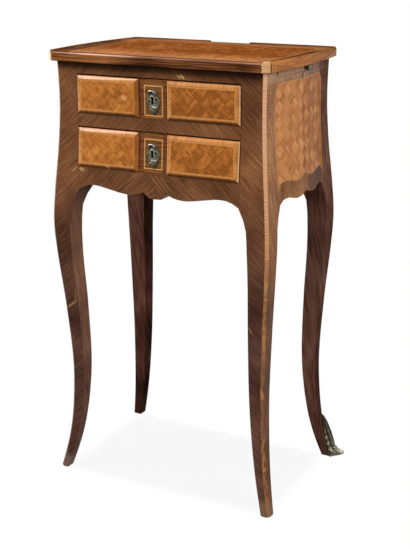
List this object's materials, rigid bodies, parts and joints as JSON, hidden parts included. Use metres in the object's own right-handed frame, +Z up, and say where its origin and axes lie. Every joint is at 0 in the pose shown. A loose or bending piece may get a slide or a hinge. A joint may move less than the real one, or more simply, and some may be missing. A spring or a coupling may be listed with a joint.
{
  "type": "occasional table",
  "caption": "Small parquetry occasional table on cabriole legs, with locking drawers, shaped aprons, a lipped top and a pull-out candle slide.",
  "frame": {"origin": "on the floor, under the middle of the whole footprint with the sabot's toe", "axes": "+Z up, the drawers face -Y, +X to the candle slide's side"},
  "size_m": [0.4258, 0.2772, 0.7215],
  "materials": {
    "kingwood": "satin",
    "tulipwood": "satin",
    "boxwood": "satin",
    "oak": "matte",
    "bronze": "patinated",
    "iron": "matte"
  },
  "bodies": {
    "carcass": {"back_panel": "kingwood", "corner_block_front_left": "iron", "corner_block_front_right": "iron", "corner_block_rear_left": "iron", "corner_block_rear_right": "iron", "front_apron": "kingwood", "front_mid_rail": "kingwood", "front_top_rail": "kingwood", "glue_block_left_front": "iron", "glue_block_left_rear": "iron", "leg_front_left": "kingwood", "leg_front_right": "kingwood", "leg_rear_left": "kingwood", "leg_rear_right": "kingwood", "lower_drawer_stop_left": "oak", "lower_drawer_stop_right": "oak", "lower_runner_left": "oak", "lower_runner_right": "oak", "rim_front": "kingwood", "rim_left": "kingwood", "rim_rear": "kingwood", "rim_right": "kingwood", "sabot_rear_right": "bronze", "side_panel_left": "kingwood", "side_panel_right": "kingwood", "slide_bearer_front": "oak", "slide_bearer_rear": "oak", "top_board": "kingwood", "upper_drawer_stop_left": "oak", "upper_drawer_stop_right": "oak", "upper_runner_left": "oak", "upper_runner_right": "oak"},
    "upper_drawer": {"upper_drawer_back": "oak", "upper_drawer_bottom": "oak", "upper_drawer_front": "kingwood", "upper_drawer_side_left": "oak", "upper_drawer_side_right": "oak", "upper_escutcheon": "bronze", "upper_field_left": "tulipwood", "upper_field_right": "tulipwood", "upper_lock_case": "iron"},
    "lower_drawer": {"lower_drawer_back": "oak", "lower_drawer_bottom": "oak", "lower_drawer_front": "kingwood", "lower_drawer_side_left": "oak", "lower_drawer_side_right": "oak", "lower_escutcheon": "bronze", "lower_field_left": "tulipwood", "lower_field_right": "tulipwood", "lower_lock_case": "iron"},
    "candle_slide": {"candle_slide_board": "oak", "candle_slide_facing": "kingwood", "slide_knob": "bronze", "slide_stop_peg": "oak"},
    "upper_bolt": {"upper_lock_bolt": "iron"},
    "lower_bolt": {"lower_lock_bolt": "iron"}
  },
  "joints": [
    {"name": "upper_drawer_slide", "type": "slide", "parent": "carcass", "child": "upper_drawer", "axis": [0, -1, 0], "range_m": [0, 0.165]},
    {"name": "lower_drawer_slide", "type": "slide", "parent": "carcass", "child": "lower_drawer", "axis": [0, -1, 0], "range_m": [0, 0.165]},
    {"name": "candle_slide_slide", "type": "slide", "parent": "carcass", "child": "candle_slide", "axis": [1, 0, 0], "range_m": [0, 0.15]},
    {"name": "upper_bolt_slide", "type": "slide", "parent": "upper_drawer", "child": "upper_bolt", "axis": [0, 0, 1], "range_m": [0, 0.006]},
    {"name": "lower_bolt_slide", "type": "slide", "parent": "lower_drawer", "child": "lower_bolt", "axis": [0, 0, 1], "range_m": [0, 0.006]}
  ]
}
